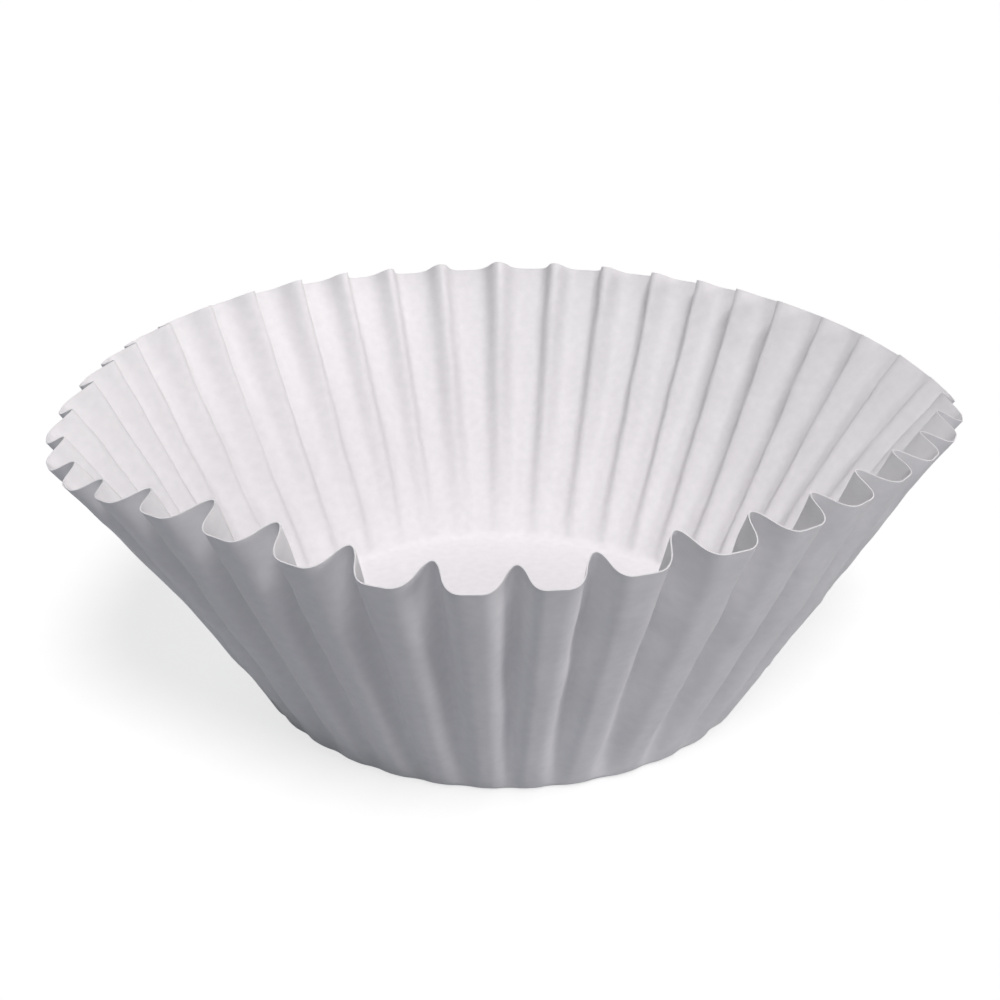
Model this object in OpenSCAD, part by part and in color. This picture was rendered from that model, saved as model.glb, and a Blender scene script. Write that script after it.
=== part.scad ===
// Fluted basket filter for a drip coffee maker, pressed from one round sheet of paper.
// Millimetres, +Z up. The origin is the centre of the base's underside.
// The flutes are worked out from the sheet: every ring of the wall keeps the length of paper
// that it had in the flat sheet, so the flutes deepen by themselves from the base to the rim.

/* [Sheet] */
// Diameter of the flat round sheet before it is pressed
sheet_d = 248; // [230:1:265]
// Thickness of the paper
paper_t = 0.2; // [0.15:0.01:0.3]

/* [Cup] */
// Diameter of the base, to the line where the wall would meet the table
base_d = 108; // [98:1:118]
// Radius of the pressed bend between the base and the wall
bend_r = 3; // [2:0.5:5]
// Slope of the wall at its foot, in degrees above the table
foot_angle = 62; // [56:0.5:68]
// Mean slope of the wall at the rim, in degrees above the table
rim_angle = 60.7; // [56:0.1:66]

/* [Flutes] */
// Number of flutes round the wall
flutes = 40; // [32:1:42]
// Share of a flute's paper that lies on its outward land
land_share = 0.39; // [0.34:0.01:0.42]
// Share of a flute's paper that lies on its inward fold
fold_share = 0.07; // [0.05:0.01:0.1]
// Length over which the paper turns at each corner, as a share of a flute's side
corner_share = 0.9; // [0.5:0.05:1]

/* [Unevenness] */
// How far the rim stands up at its four soft corners and splays between them, in degrees
corner_angle = 9.9; // [0:0.1:11]
// How far the rim stands up and splays three times round, in degrees
side_angle = 9.7; // [0:0.1:11]
// How much less the rim stands up and splays at the back than at the front, as a share
calm_share = 0.82; // [0:0.01:1]
// How much single flutes at the rim stand up or lie back, in degrees
flute_angle = 1.5; // [0:0.1:2]
// How far the flutes stray from even spacing over a half of the rim, as a share of a pitch
half_drift_share = 0.42; // [0:0.01:0.5]
// How far the flutes stray from even spacing over a quarter of the rim, as a share of a pitch
quarter_drift_share = 0.1; // [0:0.01:0.25]
// How far a few flutes together stray from even spacing, as a share of a pitch
group_drift_share = 0.09; // [0:0.01:0.1]
// How far single flutes stray from even spacing, as a share of a pitch
flute_drift_share = 0.04; // [0:0.01:0.1]
// How far the folds lean sideways at the rim, as a share of a pitch
lean_share = 0.1; // [0:0.01:0.15]

/* [Hidden] */

// Rows of points up the bend and up the wall, which stand closer together near the foot
bend_rows = 2;
wall_rows = 4;
row_ease = 1.3;

// Points on each flute of a row
flute_points = 10;

// Waves of the unevenness: cycles round the rim, and the phase in degrees. The calm wave
// peaks at the back.
calm_wave = [1, 0];
corner_wave = [4, -98];
side_wave = [3, -23];
flute_wave = [7, -61];
half_drift_wave = [2, 158];
quarter_drift_wave = [4, 163];
group_drift_wave = [7, 143];
flute_drift_wave = [13, 274];
lean_wave = [2, 9];

// Place of the first land, in pitches past +X
first_land = 0.79;
// How much rounding at its fullest shortens the paper's way, which the flutes' depth makes up
rounding_loss = 0.45;

// Steps for finding the paper's direction at a point, in flutes and in millimetres
flute_step = 0.002;
slant_step = 0.02;

full_turn = 360;
half = 0.5;
side_share = (1 - land_share - fold_share) * half;
flat_share = land_share + fold_share;

// Distances along the paper from the sheet's centre
base_r = base_d * half;
rim_s = sheet_d * half;
flat_s = base_r - bend_r * tan(foot_angle * half);
bend_len = bend_r * foot_angle * PI / (full_turn * half);
foot_s = flat_s + bend_len;
wall_len = rim_s - foot_s;

bend_slants = [for (i = [0:bend_rows]) flat_s + bend_len * i / bend_rows];
wall_slants = [for (i = [1:wall_rows]) foot_s + wall_len * pow(i / wall_rows, row_ease)];
slants = concat(bend_slants, wall_slants);

// Flute positions of the points of a row
around = flutes * flute_points;
positions = [for (i = [0:around - 1]) i / flute_points];

// Height of one wave of the unevenness at flute position f
function at(wave, f) = sin(full_turn * f * wave[0] / flutes + wave[1]);

// Flute position after the drift from even spacing
function drifted(f) = f + first_land
    + half_drift_share * at(half_drift_wave, f)
    + quarter_drift_share * at(quarter_drift_wave, f)
    + group_drift_share * at(group_drift_wave, f)
    + flute_drift_share * at(flute_drift_wave, f);

// Slope of the wall at the rim
function rim_slope(f) =
    let (swing = 1 - calm_share * (1 + at(calm_wave, f)) * half)
    rim_angle
    + swing * (corner_angle * at(corner_wave, f) + side_angle * at(side_wave, f))
    + flute_angle * at(flute_wave, f);

// Slope of the paper at slant s: level on the base, turning in the bend, easing to the rim's
function slope(f, s) =
    s <= flat_s ? 0
    : s <= foot_s ? foot_angle * (s - flat_s) / bend_len
    : foot_angle + (rim_slope(f) - foot_angle) * (s - foot_s) / wall_len;

// Radius and height of the outward lands at slant s
function land_line(f, s) =
    let (
        turned = slope(f, s),
        bend = s <= foot_s ? turned : foot_angle,
        run = max(0, s - foot_s),
        mean_slope = (foot_angle + turned) * half
    )
    [
        min(s, flat_s) + bend_r * sin(bend) + run * cos(mean_slope),
        bend_r * (1 - cos(bend)) + run * sin(mean_slope)
    ];

// Ramp from 0 to 1 over one side of a flute, rounded at both ends
function eased(v) =
    v < -corner_share * half ? 0
    : v > corner_share * half ? v
    : pow(v + corner_share * half, 2) / (2 * corner_share);
function ramp(share, centre) =
    let (v = (share - centre) / side_share) eased(v + half) - eased(v - half);

// Point of the paper's outer face at flute position f and slant s.
// fullness is the paper's length round the ring against the ring's own length. A side of
// length side_share * fullness spans the run that lands and folds leave, which gives the depth.
function paper_point(f, s) =
    let (
        i = floor(f),
        share = f - i,
        land = land_line(f, s),
        fullness = max(1, s / land[0]),
        width = drifted(i + 1) - drifted(i),
        pitch = width * 2 * PI * land[0] / flutes,
        zigzag = pitch * half * sqrt((fullness - 1) * (fullness + 1 - 2 * flat_share * fullness)),
        depth = zigzag * (1 + rounding_loss * pow(corner_share, 2)),
        first = (land_share + side_share) * half,
        up = ramp(share, first),
        down = ramp(share, 1 - first),
        inward = up - down,
        side_run = (1 - flat_share * fullness) * half,
        along = fullness * share - (fullness * side_share - side_run) * (up + down),
        climb = max(0, s - foot_s) / wall_len,
        lean = lean_share * climb * at(lean_wave, i) * inward,
        turn = full_turn / flutes * (drifted(i) + width * (along + lean)),
        tilt = slope(f, s),
        r = land[0] - depth * inward * sin(tilt)
    )
    [r * cos(turn), r * sin(turn), land[1] + depth * inward * cos(tilt)];

function unit(v) = v / norm(v);

// Direction from the paper's outer face to its inner face
function inner_way(f, s) =
    let (
        here = paper_point(f, s),
        out = here - paper_point(f, s - slant_step),
        round = paper_point(f + flute_step, s) - here
    )
    unit(cross(out, round));

function inner_point(f, s) = paper_point(f, s) + paper_t * inner_way(f, s);

// Triangles between ring a and ring b, given the numbers of their first points.
// The triangles face outwards where b lies above a.
function band(a, b) = [
    for (i = [0:around - 1])
        let (j = (i + 1) % around)
        each [[a + i, b + i, b + j], [a + i, b + j, a + j]]
];

// Triangles from a centre point to ring a, facing down
function fan(centre, a) = [
    for (i = [0:around - 1]) [centre, a + i, a + (i + 1) % around]
];

function flipped(faces) = [for (face = faces) [face[0], face[2], face[1]]];

// One closed sheet: outer face, inner face and the cut edge at the rim
module filter() {
    rows = len(slants);
    outer = [for (s = slants, f = positions) paper_point(f, s)];
    inner = [for (s = slants, f = positions) inner_point(f, s)];
    first_inner = rows * around;
    centre = 2 * rows * around;
    outer_faces = [for (k = [0:rows - 2]) each band(k * around, (k + 1) * around)];
    inner_faces = [
        for (k = [0:rows - 2])
            each flipped(band(first_inner + k * around, first_inner + (k + 1) * around))
    ];
    edge_faces = band((rows - 1) * around, first_inner + (rows - 1) * around);
    base_faces = concat(fan(centre, 0), flipped(fan(centre + 1, first_inner)));
    color("whitesmoke")
        polyhedron(
            points = concat(outer, inner, [[0, 0, 0], [0, 0, paper_t]]),
            faces = concat(outer_faces, inner_faces, edge_faces, base_faces)
        );
}

filter();
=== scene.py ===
"""Looks of a fluted paper coffee filter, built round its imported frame.

The filter is one round sheet of paper pressed into a cup: a flat base, a small bend and a
flared wall of soft flutes. Everything is in metres, +Z up, with the origin at the centre of
the base's underside. Angles are in degrees unless a name says otherwise.
"""

import logging
from dataclasses import dataclass, field
from enum import Enum

import bpy
import numpy as np
from mathutils import Matrix, Vector

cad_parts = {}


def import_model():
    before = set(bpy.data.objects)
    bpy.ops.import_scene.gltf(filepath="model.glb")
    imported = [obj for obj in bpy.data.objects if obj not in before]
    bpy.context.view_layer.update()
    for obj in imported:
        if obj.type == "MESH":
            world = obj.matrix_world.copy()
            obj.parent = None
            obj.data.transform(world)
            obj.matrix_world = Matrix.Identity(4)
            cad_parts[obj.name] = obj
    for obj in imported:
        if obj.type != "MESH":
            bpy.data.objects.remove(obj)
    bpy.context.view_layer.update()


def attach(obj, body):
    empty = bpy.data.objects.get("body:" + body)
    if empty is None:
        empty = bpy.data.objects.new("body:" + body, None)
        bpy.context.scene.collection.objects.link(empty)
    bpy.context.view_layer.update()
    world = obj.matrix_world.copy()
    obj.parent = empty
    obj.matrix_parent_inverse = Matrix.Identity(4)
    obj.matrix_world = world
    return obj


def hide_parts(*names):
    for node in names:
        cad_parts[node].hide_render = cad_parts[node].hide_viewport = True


LOG = logging.getLogger("filter")
UV_NAME = "sheet"
SENSOR_WIDTH = 36.0
FULL_TURN = 360.0


@dataclass(frozen=True)
class Wave:
    """One slow variation round the rim.

    Attributes:
        cycles: Whole cycles in one turn of the rim.
        phase: Phase at the first flute, in degrees.
    """

    cycles: int
    phase: float

    def at(self, flute: np.ndarray, flutes: int) -> np.ndarray:
        """Sine of the cycles from the first flute to each flute position, past the phase."""
        return np.sin(np.radians(FULL_TURN * flute * self.cycles / flutes + self.phase))


@dataclass(frozen=True)
class Press:
    """Sizes that the press gives the flat sheet.

    Attributes:
        sheet_diameter: Diameter of the flat round sheet.
        thickness: Thickness of the paper.
        base_diameter: Diameter of the base, to where the wall's line meets the table.
        bend_radius: Radius of the bend between base and wall.
        foot_slope: Slope of the wall at its foot.
        rim_slope: Mean slope of the wall at the rim.
        flutes: Number of flutes.
        land_share: Share of a flute's paper that lies on its outward land.
        fold_share: Share of a flute's paper that lies on its inward fold.
        corner_share: Length of the rounding at a flute's corners, in sides of a flute.
        rounding_loss: How much rounding at its fullest shortens the paper's way, which the
            depth of the flutes makes up.
    """

    sheet_diameter: float = 0.248
    thickness: float = 0.0002
    base_diameter: float = 0.108
    bend_radius: float = 0.003
    foot_slope: float = 62.0
    rim_slope: float = 60.7
    flutes: int = 40
    land_share: float = 0.39
    fold_share: float = 0.07
    corner_share: float = 0.9
    rounding_loss: float = 0.45

    @property
    def side_share(self) -> float:
        """Share of a flute's paper that lies on each of its two sides."""
        return (1 - self.land_share - self.fold_share) / 2

    @property
    def level_share(self) -> float:
        """Share of a flute's paper that runs along the wall, on land and fold."""
        return self.land_share + self.fold_share

    @property
    def rim_slant(self) -> float:
        """Distance along the paper from its centre to the rim."""
        return self.sheet_diameter / 2

    @property
    def flat_slant(self) -> float:
        """Distance along the paper from its centre to where the bend begins."""
        setback = self.bend_radius * np.tan(np.radians(self.foot_slope / 2))
        return self.base_diameter / 2 - setback

    @property
    def bend_length(self) -> float:
        """Length of paper in the bend."""
        return self.bend_radius * np.radians(self.foot_slope)

    @property
    def foot_slant(self) -> float:
        """Distance along the paper from its centre to the foot of the wall."""
        return self.flat_slant + self.bend_length

    @property
    def wall_length(self) -> float:
        """Length of the wall along the paper."""
        return self.rim_slant - self.foot_slant


@dataclass(frozen=True)
class Handling:
    """How far packing and handling have pushed the filter out of true.

    Attributes:
        corner_rise: Swing of the rim's slope, four times round.
        side_rise: Swing of the rim's slope, three times round.
        back_calm: Share by which those swings are smaller at the back.
        flute_rise: Swing of the rim's slope from flute to flute.
        half_drift: Stray of the flutes' spacing over half the rim, in pitches.
        quarter_drift: Stray of the flutes' spacing over a quarter of the rim, in pitches.
        group_drift: Stray of a few flutes together, in pitches.
        flute_drift: Stray of single flutes, in pitches.
        fold_lean: Sideways lean of the folds at the rim, in pitches.
        first_land: Place of the first land past +X, in pitches.
        calm_wave: Where the back is, at the wave's peak.
        corner_wave: Course of corner_rise round the rim.
        side_wave: Course of side_rise.
        flute_wave: Course of flute_rise.
        half_drift_wave: Course of half_drift.
        quarter_drift_wave: Course of quarter_drift.
        group_drift_wave: Course of group_drift.
        flute_drift_wave: Course of flute_drift.
        lean_wave: Course of fold_lean.
    """

    corner_rise: float = 9.9
    side_rise: float = 9.7
    back_calm: float = 0.82
    flute_rise: float = 1.5
    half_drift: float = 0.42
    quarter_drift: float = 0.10
    group_drift: float = 0.09
    flute_drift: float = 0.04
    fold_lean: float = 0.10
    first_land: float = 0.79
    calm_wave: Wave = Wave(1, 0)
    corner_wave: Wave = Wave(4, -98)
    side_wave: Wave = Wave(3, -23)
    flute_wave: Wave = Wave(7, -61)
    half_drift_wave: Wave = Wave(2, 158)
    quarter_drift_wave: Wave = Wave(4, 163)
    group_drift_wave: Wave = Wave(7, 143)
    flute_drift_wave: Wave = Wave(13, 274)
    lean_wave: Wave = Wave(2, 9)


@dataclass(frozen=True)
class Ripples:
    """Gentle unevenness of the paper itself, as a sum of sine waves across the flat sheet.

    Attributes:
        seed: Seed of the random draws.
        count: Number of waves.
        shortest: Shortest wavelength.
        longest: Longest wavelength.
        height: Root-mean-square height of the sum.
    """

    seed: int = 11
    count: int = 40
    shortest: float = 0.006
    longest: float = 0.030
    height: float = 0.00010

    def at(self, x: np.ndarray, y: np.ndarray) -> np.ndarray:
        """Height of the ripples at points of the flat sheet.

        Each wave has a drawn direction, length and phase, and longer waves stand higher.
        The sum is scaled to the stated height.

        Args:
            x: First coordinates on the flat sheet.
            y: Second coordinates on the flat sheet.

        Returns:
            Heights, of the shape of x.
        """
        draw = np.random.default_rng(self.seed)
        way = draw.uniform(0, 2 * np.pi, self.count)
        length = np.exp(draw.uniform(np.log(self.shortest), np.log(self.longest), self.count))
        phase = draw.uniform(0, 2 * np.pi, self.count)
        weight = length / np.sqrt(np.sum(length**2) / 2)
        across = x[..., None] * np.cos(way) + y[..., None] * np.sin(way)
        waves = weight * np.sin(2 * np.pi * across / length + phase)
        return self.height * waves.sum(axis=-1)


@dataclass(frozen=True)
class Wrinkles:
    """Short crosswise wrinkles where single flutes have been squeezed.

    Attributes:
        seed: Seed of the random draws.
        count: Number of wrinkled spots.
        height: Height of the wrinkles.
        length: Distance from one wrinkle to the next, along the wall.
        reach: Length of a wrinkled spot along the wall.
        breadth: Width of a wrinkled spot, in flutes.
        lowest: Lowest place of a spot, as a share of the wall's length.
        highest: Highest place of a spot, as a share of the wall's length.
    """

    seed: int = 5
    count: int = 34
    height: float = 0.00015
    length: float = 0.0048
    reach: float = 0.0050
    breadth: float = 0.22
    lowest: float = 0.15
    highest: float = 0.85

    def at(self, flute: np.ndarray, climb: np.ndarray, press: Press) -> np.ndarray:
        """Height of the wrinkles over the wall.

        Each spot is a cosine along the wall under a bell that fades along and across it.

        Args:
            flute: Flute positions.
            climb: Distances up the wall from its foot.
            press: The sheet's sizes.

        Returns:
            Heights, of the shape of flute.
        """
        draw = np.random.default_rng(self.seed)
        spots = draw.uniform(0, press.flutes, self.count)
        heights = draw.uniform(self.lowest, self.highest, self.count) * press.wall_length
        signs = draw.choice([-1.0, 1.0], self.count)
        total = np.zeros_like(flute)
        for spot, height, sign in zip(spots, heights, signs):
            side = (flute - spot + press.flutes / 2) % press.flutes - press.flutes / 2
            along = climb - height
            bell = np.exp(-((side / self.breadth) ** 2) - (along / self.reach) ** 2)
            total += sign * self.height * bell * np.cos(2 * np.pi * along / self.length)
        return total


@dataclass(frozen=True)
class FlutedSheet:
    """The pressed sheet as a surface over flute position and slant.

    Flute position runs once round the rim, one unit to a flute, with a land at each whole
    number. Slant is the distance along the paper from the sheet's centre.

    Attributes:
        press: What the press gives the sheet.
        handling: What handling has done to it.
    """

    press: Press
    handling: Handling

    def drifted(self, flute: np.ndarray) -> np.ndarray:
        """Flute position after its stray from even spacing, with the first land's place.

        Args:
            flute: Flute positions.

        Returns:
            Each position plus the place of the first land and the four drifts there.
        """
        h, n = self.handling, self.press.flutes
        return (
            flute
            + h.first_land
            + h.half_drift * h.half_drift_wave.at(flute, n)
            + h.quarter_drift * h.quarter_drift_wave.at(flute, n)
            + h.group_drift * h.group_drift_wave.at(flute, n)
            + h.flute_drift * h.flute_drift_wave.at(flute, n)
        )

    def rim_slope(self, flute: np.ndarray) -> np.ndarray:
        """Slope of the wall at the rim.

        The swings four times and three times round are full at the front and grow smaller
        towards the back.

        Args:
            flute: Flute positions.

        Returns:
            The mean slope plus the swings, in degrees.
        """
        h, n = self.handling, self.press.flutes
        swing = 1 - h.back_calm * (1 + h.calm_wave.at(flute, n)) / 2
        four = h.corner_rise * h.corner_wave.at(flute, n)
        three = h.side_rise * h.side_wave.at(flute, n)
        single = h.flute_rise * h.flute_wave.at(flute, n)
        return self.press.rim_slope + swing * (four + three) + single

    def slope(self, flute: np.ndarray, slant: np.ndarray) -> np.ndarray:
        """Slope of the paper: level on the base, turning in the bend, easing to the rim's.

        Args:
            flute: Flute positions.
            slant: Slants.

        Returns:
            Slopes, in degrees.
        """
        p = self.press
        turned = p.foot_slope * np.clip((slant - p.flat_slant) / p.bend_length, 0, 1)
        climb = np.maximum(0, slant - p.foot_slant) / p.wall_length
        return turned + (self.rim_slope(flute) - p.foot_slope) * climb

    def land_line(self, flute: np.ndarray,
                  slant: np.ndarray) -> tuple[np.ndarray, np.ndarray]:
        """Radius and height of the outward lands.

        The base adds its own length, the bend an arc, and the wall a run at the mean of its
        slopes from the foot to the point.

        Args:
            flute: Flute positions.
            slant: Slants.

        Returns:
            Radii and heights.
        """
        p = self.press
        slope = self.slope(flute, slant)
        bend = np.radians(np.where(slant <= p.foot_slant, slope, p.foot_slope))
        mean = np.radians((p.foot_slope + slope) / 2)
        run = np.maximum(0, slant - p.foot_slant)
        base = np.minimum(slant, p.flat_slant)
        radius = base + p.bend_radius * np.sin(bend) + run * np.cos(mean)
        height = p.bend_radius * (1 - np.cos(bend)) + run * np.sin(mean)
        return radius, height

    def eased(self, value: np.ndarray) -> np.ndarray:
        """Nought below the corner, the value past it, and a parabola that joins the two.

        Args:
            value: Distance past the corner, in sides of a flute.

        Returns:
            The rounded distance.
        """
        reach = self.press.corner_share / 2
        curve = (value + reach) ** 2 / (4 * reach)
        return np.where(value < -reach, 0.0, np.where(value > reach, value, curve))

    def ramp(self, share: np.ndarray, centre: float) -> np.ndarray:
        """Ramp from 0 to 1 over the side of a flute round centre, rounded at both ends."""
        value = (share - centre) / self.press.side_share
        return self.eased(value + 0.5) - self.eased(value - 0.5)

    def point(self, flute: np.ndarray, slant: np.ndarray) -> np.ndarray:
        """Points of the paper's outer face.

        The paper's length round a ring, against the ring's own length, is its fullness. A
        flute's side is as long as its share of that paper and spans what the land and the
        fold leave of the pitch, and that gives the depth. The depth is taken at right
        angles to the wall.

        Args:
            flute: Flute positions.
            slant: Slants, of the same shape.

        Returns:
            Points, with the coordinates on a last axis.
        """
        p, h = self.press, self.handling
        number = np.floor(flute)
        share = flute - number
        radius, height = self.land_line(flute, slant)
        fullness = np.maximum(1.0, slant / radius)
        width = self.drifted(number + 1) - self.drifted(number)
        pitch = width * 2 * np.pi * radius / p.flutes
        spare = (fullness - 1) * (fullness + 1 - 2 * p.level_share * fullness)
        zigzag = pitch / 2 * np.sqrt(spare)
        depth = zigzag * (1 + p.rounding_loss * p.corner_share**2)
        first = (p.land_share + p.side_share) / 2
        up = self.ramp(share, first)
        down = self.ramp(share, 1 - first)
        inward = up - down
        side_run = (1 - p.level_share * fullness) / 2
        along = fullness * share - (fullness * p.side_share - side_run) * (up + down)
        climb = np.maximum(0, slant - p.foot_slant) / p.wall_length
        lean = h.fold_lean * climb * h.lean_wave.at(number, p.flutes) * inward
        place = self.drifted(number) + width * (along + lean)
        turn = np.radians(FULL_TURN / p.flutes * place)
        tilt = np.radians(self.slope(flute, slant))
        radius = radius - depth * inward * np.sin(tilt)
        height = height + depth * inward * np.cos(tilt)
        return np.stack([radius * np.cos(turn), radius * np.sin(turn), height], axis=-1)

    def inward_way(self, flute: np.ndarray, slant: np.ndarray) -> np.ndarray:
        """Unit direction from the outer face to the inner one.

        It is the cross product of the way up the slant and the way round the ring, each
        taken over a small step.

        Args:
            flute: Flute positions.
            slant: Slants.

        Returns:
            Unit vectors on a last axis.
        """
        flute_step, slant_step = 0.002, 0.00002
        up = self.point(flute, slant) - self.point(flute, slant - slant_step)
        ahead = self.point(flute + flute_step, slant)
        behind = self.point(flute - flute_step, slant)
        way = np.cross(up, ahead - behind)
        return way / np.linalg.norm(way, axis=-1, keepdims=True)


def larger(tree: bpy.types.NodeTree, first: bpy.types.NodeSocket,
           second: bpy.types.NodeSocket) -> bpy.types.NodeSocket:
    """The larger of two values.

    Args:
        tree: Nodes and links of a material or of the world.
        first: One value.
        second: The other.

    Returns:
        The larger value.
    """
    top = tree.nodes.new("ShaderNodeMath")
    top.operation = "MAXIMUM"
    tree.links.new(first, top.inputs[0])
    tree.links.new(second, top.inputs[1])
    return top.outputs["Value"]


@dataclass(frozen=True)
class PaperFinish:
    """White filter paper: matt, fibrous, faintly cloudy and slightly see-through.

    All its noises read the flat sheet's own coordinates.

    Attributes:
        thick: Colour where the fibres lie close.
        thin: Colour where they lie loose.
        cloud_scale: Clouds in a metre of the sheet.
        cloud_detail: Finer layers in the clouds.
        cloud_span: Cloud values that count as thin and as thick.
        fibre_long: Fibre grain along its length, in a metre.
        fibre_cross: Fibre grain across its length, in a metre.
        fibre_detail: Finer layers in the fibres.
        fibre_ways: Ways in which the fibres lie.
        fibre_span: Fibre values between which the roughness changes.
        roughness: Roughness between the fibres, and on them.
        bump: Depth of the fibre relief.
        bump_strength: Share of that depth that shows.
        gloss: Level of the faint mirror-like reflection.
        sheen: Strength of the soft light at the fibres' edges.
        sheen_roughness: Spread of that light.
        glow: Share of light that passes into the paper.
        reach: How far light spreads inside it.
        reach_ratio: How far red, green and blue spread against that.
    """

    thick: tuple[float, float, float] = (0.885, 0.880, 0.885)
    thin: tuple[float, float, float] = (0.840, 0.838, 0.846)
    cloud_scale: float = 520.0
    cloud_detail: float = 4.0
    cloud_span: tuple[float, float] = (0.30, 0.70)
    fibre_long: float = 420.0
    fibre_cross: float = 3600.0
    fibre_detail: float = 2.0
    fibre_ways: tuple[float, ...] = (12.0, 74.0, 133.0)
    fibre_span: tuple[float, float] = (0.45, 0.80)
    roughness: tuple[float, float] = (0.94, 0.80)
    bump: float = 0.00005
    bump_strength: float = 0.6
    gloss: float = 0.25
    sheen: float = 0.08
    sheen_roughness: float = 0.6
    glow: float = 0.15
    reach: float = 0.0006
    reach_ratio: tuple[float, float, float] = (1.0, 0.95, 0.9)

    def build(self) -> bpy.types.Material:
        """Makes the material.

        Returns:
            The material.
        """
        material = bpy.data.materials.new("filter_paper")
        material.use_nodes = True
        tree = material.node_tree
        place = tree.nodes.new("ShaderNodeUVMap")
        place.uv_map = UV_NAME
        fibres = self.fibres(tree, place)
        sockets = tree.nodes["Principled BSDF"].inputs
        tree.links.new(self.colour(tree, place), sockets["Base Color"])
        tree.links.new(self.matt(tree, fibres), sockets["Roughness"])
        tree.links.new(self.relief(tree, fibres), sockets["Normal"])
        sockets["Specular IOR Level"].default_value = self.gloss
        sockets["Sheen Weight"].default_value = self.sheen
        sockets["Sheen Roughness"].default_value = self.sheen_roughness
        sockets["Subsurface Weight"].default_value = self.glow
        sockets["Subsurface Radius"].default_value = self.reach_ratio
        sockets["Subsurface Scale"].default_value = self.reach
        return material

    def colour(self, tree: bpy.types.NodeTree,
               place: bpy.types.Node) -> bpy.types.NodeSocket:
        """Clouds: a soft noise that mixes the colours of thin and thick paper.

        Args:
            tree: The material's nodes and links.
            place: Node that gives the sheet's coordinates.

        Returns:
            The colour.
        """
        cloud = tree.nodes.new("ShaderNodeTexNoise")
        cloud.inputs["Scale"].default_value = self.cloud_scale
        cloud.inputs["Detail"].default_value = self.cloud_detail
        tree.links.new(place.outputs["UV"], cloud.inputs["Vector"])
        density = tree.nodes.new("ShaderNodeMapRange")
        density.inputs["From Min"].default_value = self.cloud_span[0]
        density.inputs["From Max"].default_value = self.cloud_span[1]
        tree.links.new(cloud.outputs["Fac"], density.inputs["Value"])
        mix = tree.nodes.new("ShaderNodeMix")
        mix.data_type = "RGBA"
        mix.inputs["A"].default_value = (*self.thin, 1)
        mix.inputs["B"].default_value = (*self.thick, 1)
        tree.links.new(density.outputs["Result"], mix.inputs["Factor"])
        return mix.outputs["Result"]

    def fibres(self, tree: bpy.types.NodeTree,
               place: bpy.types.Node) -> bpy.types.NodeSocket:
        """Fibres in all their ways: at each place the highest of the families.

        Args:
            tree: The material's nodes and links.
            place: Node that gives the sheet's coordinates.

        Returns:
            The fibres' height, from 0 to 1.
        """
        highest, *others = [self.strand(tree, place, way) for way in self.fibre_ways]
        for strand in others:
            highest = larger(tree, highest, strand)
        return highest

    def strand(self, tree: bpy.types.NodeTree, place: bpy.types.Node,
               way: float) -> bpy.types.NodeSocket:
        """One family of fibres: a noise drawn out along one way across the sheet.

        Args:
            tree: The material's nodes and links.
            place: Node that gives the sheet's coordinates.
            way: The fibres' direction.

        Returns:
            The noise's output.
        """
        turn = tree.nodes.new("ShaderNodeMapping")
        turn.inputs["Rotation"].default_value = (0, 0, np.radians(way))
        turn.inputs["Scale"].default_value = (self.fibre_long, self.fibre_cross, 1)
        tree.links.new(place.outputs["UV"], turn.inputs["Vector"])
        grain = tree.nodes.new("ShaderNodeTexNoise")
        grain.inputs["Scale"].default_value = 1
        grain.inputs["Detail"].default_value = self.fibre_detail
        tree.links.new(turn.outputs["Vector"], grain.inputs["Vector"])
        return grain.outputs["Fac"]

    def matt(self, tree: bpy.types.NodeTree,
             fibres: bpy.types.NodeSocket) -> bpy.types.NodeSocket:
        """Roughness, a little lower on the fibres than between them.

        Args:
            tree: The material's nodes and links.
            fibres: The fibres' height.

        Returns:
            The roughness.
        """
        change = tree.nodes.new("ShaderNodeMapRange")
        change.inputs["From Min"].default_value = self.fibre_span[0]
        change.inputs["From Max"].default_value = self.fibre_span[1]
        change.inputs["To Min"].default_value = self.roughness[0]
        change.inputs["To Max"].default_value = self.roughness[1]
        tree.links.new(fibres, change.inputs["Value"])
        return change.outputs["Result"]

    def relief(self, tree: bpy.types.NodeTree,
               fibres: bpy.types.NodeSocket) -> bpy.types.NodeSocket:
        """Fine relief of the fibres.

        Args:
            tree: The material's nodes and links.
            fibres: The fibres' height.

        Returns:
            The way the surface faces.
        """
        raised = tree.nodes.new("ShaderNodeBump")
        raised.inputs["Strength"].default_value = self.bump_strength
        raised.inputs["Distance"].default_value = self.bump
        tree.links.new(fibres, raised.inputs["Height"])
        return raised.outputs["Normal"]


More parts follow.
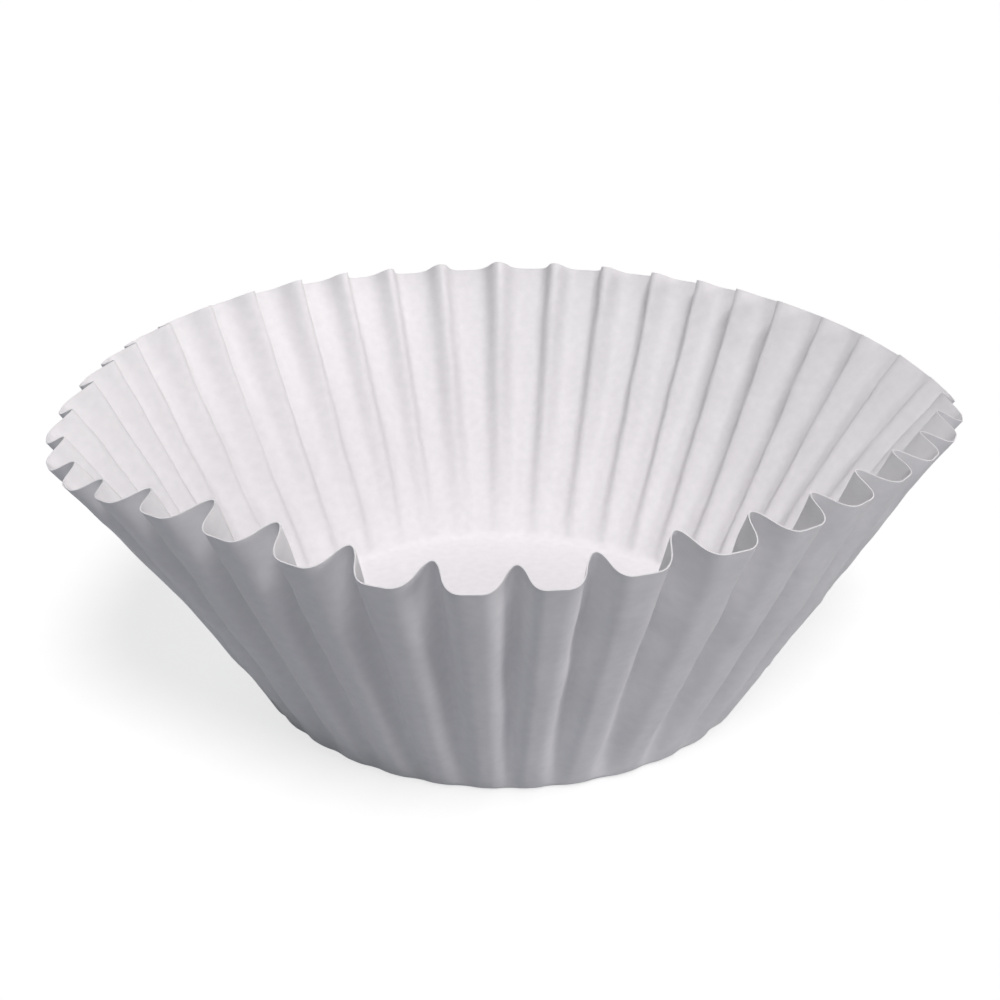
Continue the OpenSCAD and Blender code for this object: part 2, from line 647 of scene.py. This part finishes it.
@dataclass
class FilterCup:
    """The filter: one closed sheet with an outer face, an inner face and a cut edge.

    Attributes:
        press: The sheet's sizes.
        handling: How it has been pushed out of true.
        ripples: Gentle unevenness of the paper.
        wrinkles: Squeezed spots on the flutes.
        finish: The paper's look.
        flute_points: Points on each flute of a row.
        base_rows: Rows on the base.
        bend_rows: Rows in the bend.
        wall_rows: Rows up the wall.
        even_reach: Height of wall over which the unevenness sets in.
    """

    press: Press = field(default_factory=Press)
    handling: Handling = field(default_factory=Handling)
    ripples: Ripples = field(default_factory=Ripples)
    wrinkles: Wrinkles = field(default_factory=Wrinkles)
    finish: PaperFinish = field(default_factory=PaperFinish)
    flute_points: int = 24
    base_rows: int = 4
    bend_rows: int = 5
    wall_rows: int = 36
    even_reach: float = 0.008

    def slants(self) -> np.ndarray:
        """Slants of the rows.

        Returns:
            Slants from near the sheet's centre to the rim, evenly spaced on each part.
        """
        p = self.press
        base = np.linspace(p.flat_slant / self.base_rows, p.flat_slant, self.base_rows)
        bend = np.linspace(p.flat_slant, p.foot_slant, self.bend_rows + 1)[1:]
        wall = np.linspace(p.foot_slant, p.rim_slant, self.wall_rows + 1)[1:]
        return np.concatenate([base, bend, wall])

    def unevenness(self, flute: np.ndarray, slant: np.ndarray) -> np.ndarray:
        """How far the paper stands in from its true surface.

        The ripples and wrinkles start above the foot of the wall, so the base stays flat
        on what it stands on.

        Args:
            flute: Flute positions.
            slant: Slants.

        Returns:
            Distances along the inward way.
        """
        p = self.press
        climb = slant - p.foot_slant
        ripples = self.ripples.at(*self.flat_place(flute, slant))
        wrinkles = self.wrinkles.at(flute, climb, p)
        fade = np.clip(climb / self.even_reach, 0, 1)
        return fade * (ripples + wrinkles)

    def flat_place(self, flute: np.ndarray,
                   slant: np.ndarray) -> tuple[np.ndarray, np.ndarray]:
        """Place on the flat sheet: the slant is the radius and the flute gives the turn."""
        turn = 2 * np.pi * flute / self.press.flutes
        return slant * np.cos(turn), slant * np.sin(turn)

    @staticmethod
    def faces(rows: int, around: int) -> tuple[np.ndarray, np.ndarray]:
        """Faces of the paper's two sides, of its cut edge and of the middle of the base.

        Points are numbered row by row, first on the outer side, then on the inner one, and
        the two centres come last. Each face points out of the paper.

        Args:
            rows: Number of rows.
            around: Points in a row.

        Returns:
            Four-sided faces and triangles.
        """
        grid = np.arange(rows * around).reshape(rows, around)
        lower, upper = grid[:-1], grid[1:]
        walls = np.stack([lower, upper, np.roll(upper, -1, 1), np.roll(lower, -1, 1)], -1)
        outer = walls.reshape(-1, 4)
        inner = outer[:, ::-1] + grid.size
        rim = grid[-1]
        inner_rim = rim + grid.size
        edge = np.stack([rim, inner_rim, np.roll(inner_rim, -1), np.roll(rim, -1)], -1)
        first = grid[0]
        inner_first = first + grid.size
        under = np.full(around, 2 * grid.size)
        over = under + 1
        under_fan = np.stack([under, first, np.roll(first, -1)], -1)
        over_fan = np.stack([over, np.roll(inner_first, -1), inner_first], -1)
        return np.concatenate([outer, inner, edge]), np.concatenate([under_fan, over_fan])

    def build(self) -> bpy.types.Object:
        """Makes the filter's mesh and dresses it.

        Returns:
            The filter.
        """
        p = self.press
        around = p.flutes * self.flute_points
        flute, slant = np.meshgrid(np.arange(around) / self.flute_points, self.slants())
        sheet = FlutedSheet(p, self.handling)
        way = sheet.inward_way(flute, slant)
        outer = sheet.point(flute, slant) + self.unevenness(flute, slant)[..., None] * way
        inner = outer + p.thickness * way
        centres = np.array([[0, 0, 0], [0, 0, p.thickness]])
        points = np.concatenate([outer.reshape(-1, 3), inner.reshape(-1, 3), centres])
        flat = np.stack(self.flat_place(flute, slant), -1).reshape(-1, 2)
        flat = np.concatenate([flat, flat, np.zeros((2, 2))])
        quads, triangles = self.faces(*flute.shape)
        piece = new_piece("filter_sheet", points, quads, triangles, flat)
        piece.data.materials.append(self.finish.build())
        return piece


def new_piece(name: str, points: np.ndarray, quads: np.ndarray, triangles: np.ndarray,
              flat: np.ndarray) -> bpy.types.Object:
    """Puts a surface into a mesh object.

    Args:
        name: The piece's name.
        points: Its points.
        quads: Its four-sided faces.
        triangles: Its three-sided faces.
        flat: Each point's place on the flat sheet, kept as the UV map.

    Returns:
        The object, shaded smooth apart from its sharp edges.
    """
    loops = np.concatenate([quads.ravel(), triangles.ravel()]).astype(np.int32)
    sizes = np.concatenate([np.full(len(quads), 4), np.full(len(triangles), 3)])
    starts = np.concatenate([[0], np.cumsum(sizes)[:-1]]).astype(np.int32)
    mesh = bpy.data.meshes.new(name)
    mesh.vertices.add(len(points))
    mesh.vertices.foreach_set("co", points.astype(np.float32).ravel())
    mesh.loops.add(len(loops))
    mesh.loops.foreach_set("vertex_index", loops)
    mesh.polygons.add(len(starts))
    mesh.polygons.foreach_set("loop_start", starts)
    mesh.update(calc_edges=True)
    mesh.validate()
    layer = mesh.uv_layers.new(name=UV_NAME)
    layer.data.foreach_set("uv", flat[loops].astype(np.float32).ravel())
    mesh.shade_smooth()
    sharp_angle = 60.0
    mesh.set_sharp_from_angle(angle=np.radians(sharp_angle))
    piece = bpy.data.objects.new(name, mesh)
    bpy.context.scene.collection.objects.link(piece)
    return piece


class LampKind(Enum):
    """Roles of the studio's lamps."""

    KEY = "key"
    RIGHT = "right"
    FILL = "fill"
    BACK = "back"


@dataclass(frozen=True)
class Lamp:
    """A wide, even light from far off.

    Attributes:
        kind: Its role.
        azimuth: Where it shines from, in degrees from +X towards +Y.
        elevation: How high it stands.
        strength: Its light on a surface that faces it, where pi shows a colour as written.
        softness: Its apparent width.
        colour: Its colour.
    """

    kind: LampKind
    azimuth: float
    elevation: float
    strength: float
    softness: float
    colour: tuple[float, float, float]

    def build(self) -> None:
        """Hangs the lamp."""
        light = bpy.data.lights.new(self.kind.value + "_lamp", "SUN")
        light.energy = self.strength
        light.angle = np.radians(self.softness)
        light.color = self.colour
        lamp = bpy.data.objects.new(light.name, light)
        level, up = np.radians(self.azimuth), np.radians(self.elevation)
        away = Vector((np.cos(level) * np.cos(up), np.sin(level) * np.cos(up), np.sin(up)))
        lamp.rotation_mode = "QUATERNION"
        lamp.rotation_quaternion = away.to_track_quat("Z", "Y")
        lamp.location = away
        bpy.context.scene.collection.objects.link(lamp)


@dataclass
class Studio:
    """A plain pale floor, a dim dome of light and four soft lamps.

    Attributes:
        lamps: The lamps.
        dome_colour: Colour of the dome.
        dome_strength: Strength of the dome on the object.
        floor_width: Width of the floor.
        floor_shown: Floor colour that the camera sees.
        floor_lift: Light that the camera sees in the floor besides what falls on it.
        bounce_colour: Floor colour that lights the object.
    """

    lamps: tuple[Lamp, ...] = (
        Lamp(LampKind.KEY, -72.0, 61.0, 2.43, 20.0, (1.0, 0.958, 0.98)),
        Lamp(LampKind.RIGHT, -20.0, 5.0, 0.98, 26.0, (1.0, 0.97, 0.96)),
        Lamp(LampKind.FILL, -125.0, 2.0, 0.35, 60.0, (0.88, 0.98, 1.0)),
        Lamp(LampKind.BACK, 105.0, 10.0, 0.95, 60.0, (0.96, 0.98, 1.0)),
    )
    dome_colour: tuple[float, float, float] = (0.90, 0.94, 1.0)
    dome_strength: float = 0.03
    floor_width: float = 6.0
    floor_shown: float = 0.34
    floor_lift: float = 0.742
    bounce_colour: tuple[float, float, float] = (0.375, 0.388, 0.416)

    def build(self) -> None:
        """Sets up floor, dome and lamps."""
        self.build_dome()
        self.build_floor()
        for lamp in self.lamps:
            lamp.build()

    def build_dome(self) -> None:
        """Makes the world: white where it is seen, dim where it lights the object."""
        world = bpy.data.worlds.new("studio")
        world.use_nodes = True
        nodes, links = world.node_tree.nodes, world.node_tree.links
        nodes.clear()
        white = nodes.new("ShaderNodeBackground")
        dim = nodes.new("ShaderNodeBackground")
        dim.inputs["Color"].default_value = (*self.dome_colour, 1)
        dim.inputs["Strength"].default_value = self.dome_strength
        white.inputs["Color"].default_value = (1, 1, 1, 1)
        mix = nodes.new("ShaderNodeMixShader")
        output = nodes.new("ShaderNodeOutputWorld")
        links.new(seen_directly(world.node_tree), mix.inputs["Fac"])
        links.new(dim.outputs["Background"], mix.inputs[1])
        links.new(white.outputs["Background"], mix.inputs[2])
        links.new(mix.outputs["Shader"], output.inputs["Surface"])
        bpy.context.scene.world = world

    def build_floor(self) -> None:
        """Makes the floor, which keeps the object's shadow but looks white beyond it."""
        mesh = bpy.data.meshes.new("floor")
        low, high = -self.floor_width / 2, self.floor_width / 2
        square = [(low, low, 0), (high, low, 0), (high, high, 0), (low, high, 0)]
        mesh.from_pydata(square, [], [(0, 1, 2, 3)])
        floor = bpy.data.objects.new("floor", mesh)
        bpy.context.scene.collection.objects.link(floor)
        material = bpy.data.materials.new("floor_paint")
        material.use_nodes = True
        nodes, links = material.node_tree.nodes, material.node_tree.links
        nodes.clear()
        bounce = nodes.new("ShaderNodeBsdfDiffuse")
        bounce.inputs["Color"].default_value = (*self.bounce_colour, 1)
        shown = nodes.new("ShaderNodeBsdfDiffuse")
        shown.inputs["Color"].default_value = (*[self.floor_shown] * 3, 1)
        lift = nodes.new("ShaderNodeEmission")
        lift.inputs["Strength"].default_value = self.floor_lift
        lifted = nodes.new("ShaderNodeAddShader")
        mix = nodes.new("ShaderNodeMixShader")
        output = nodes.new("ShaderNodeOutputMaterial")
        links.new(shown.outputs["BSDF"], lifted.inputs[0])
        links.new(lift.outputs["Emission"], lifted.inputs[1])
        links.new(seen_directly(material.node_tree), mix.inputs["Fac"])
        links.new(bounce.outputs["BSDF"], mix.inputs[1])
        links.new(lifted.outputs["Shader"], mix.inputs[2])
        links.new(mix.outputs["Shader"], output.inputs["Surface"])
        mesh.materials.append(material)


def seen_directly(tree: bpy.types.NodeTree) -> bpy.types.NodeSocket:
    """A value of 1 for rays from the camera, a mirror or glass, and of 0 for other rays.

    Args:
        tree: Nodes and links of a material or of the world.

    Returns:
        The value.
    """
    path = tree.nodes.new("ShaderNodeLightPath").outputs
    shiny = larger(tree, path["Is Camera Ray"], path["Is Glossy Ray"])
    return larger(tree, shiny, path["Is Transmission Ray"])


@dataclass(frozen=True)
class PhotoCamera:
    """The camera, where the photograph was taken from.

    Attributes:
        distance: Distance from the centre of the base.
        elevation: Height of the line from the base's centre to the camera.
        pitch: How far the camera looks down.
        yaw: How far it looks to the right of +Y.
        roll: How far it is rolled.
        focal_pixels: Focal length in pixels of the frame.
        frame_pixels: Width of the frame in pixels.
        nearest: Distance from which on it sees.
    """

    distance: float = 0.320
    elevation: float = 30.9
    pitch: float = 25.1
    yaw: float = -0.23
    roll: float = 0.3
    focal_pixels: float = 1421.0
    frame_pixels: float = 1000.0
    nearest: float = 0.01

    def build(self) -> None:
        """Places the camera and makes it the scene's."""
        data = bpy.data.cameras.new("photo_camera")
        data.sensor_width = SENSOR_WIDTH
        data.lens = self.focal_pixels / self.frame_pixels * SENSOR_WIDTH
        data.clip_start = self.nearest
        up, down = np.radians(self.elevation), np.radians(self.pitch)
        side, roll = np.radians(self.yaw), np.radians(self.roll)
        level = np.cos(down)
        ahead = Vector((np.sin(side) * level, np.cos(side) * level, -np.sin(down)))
        right = ahead.cross(Vector((0, 0, 1))).normalized()
        top = right.cross(ahead)
        rolled_right = np.cos(roll) * right + np.sin(roll) * top
        rolled_top = np.cos(roll) * top - np.sin(roll) * right
        camera = bpy.data.objects.new("photo_camera", data)
        turned = Matrix((rolled_right, rolled_top, -ahead)).transposed().to_4x4()
        place = self.distance * Vector((0, -np.cos(up), np.sin(up)))
        camera.matrix_world = Matrix.Translation(place) @ turned
        bpy.context.scene.collection.objects.link(camera)
        bpy.context.scene.camera = camera


def main() -> None:
    """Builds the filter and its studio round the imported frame."""
    logging.basicConfig(level=logging.INFO, format="%(message)s")
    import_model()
    PhotoCamera().build()
    Studio().build()
    sheet = FilterCup().build()
    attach(sheet, "root")
    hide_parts("filter")
    LOG.info("%s: %d faces", sheet.name, len(sheet.data.polygons))
    bpy.context.scene.view_settings.view_transform = "Standard"


if __name__ == "__main__":
    main()
